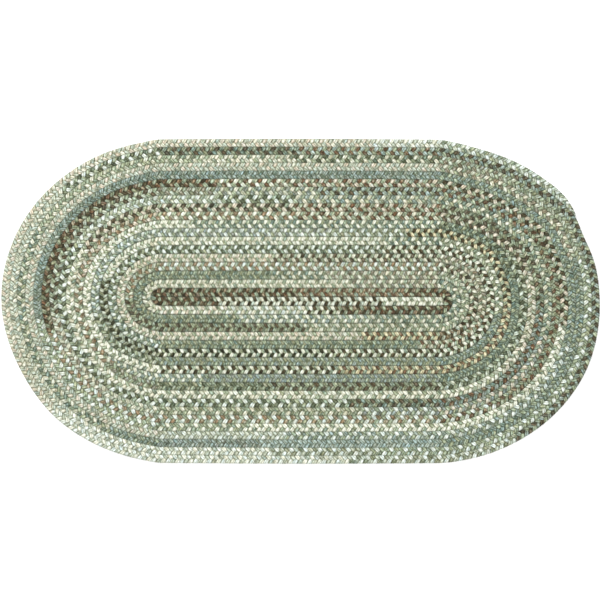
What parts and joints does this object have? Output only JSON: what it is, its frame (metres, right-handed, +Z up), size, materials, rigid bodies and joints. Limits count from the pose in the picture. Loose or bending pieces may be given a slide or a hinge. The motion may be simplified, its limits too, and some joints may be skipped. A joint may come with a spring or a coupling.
{
  "type": "oval braided rug",
  "caption": "Flat oval rug of heathered three-strand yarn braid, coiled from the middle and laced edge to edge, in sage, cream, grey-blue and brown.",
  "frame": {"origin": "on the floor, under the middle of the mat's bounding box", "axes": "+X along the rug's length, +Y across its width, +Z up from the floor, face up"},
  "size_m": [1.2198, 0.6616, 0.009],
  "materials": {
    "braid_yarn": "matte heathered spun yarn, four to five yarns side by side in each strand, strands of sage, cream, grey-blue, dark green, brown and rose mixed along the braid",
    "lacing_thread": "matte dark sage lacing thread, sunk between the rows"
  },
  "bodies": {
    "root": {"rug": "braid_yarn"}
  },
  "joints": []
}
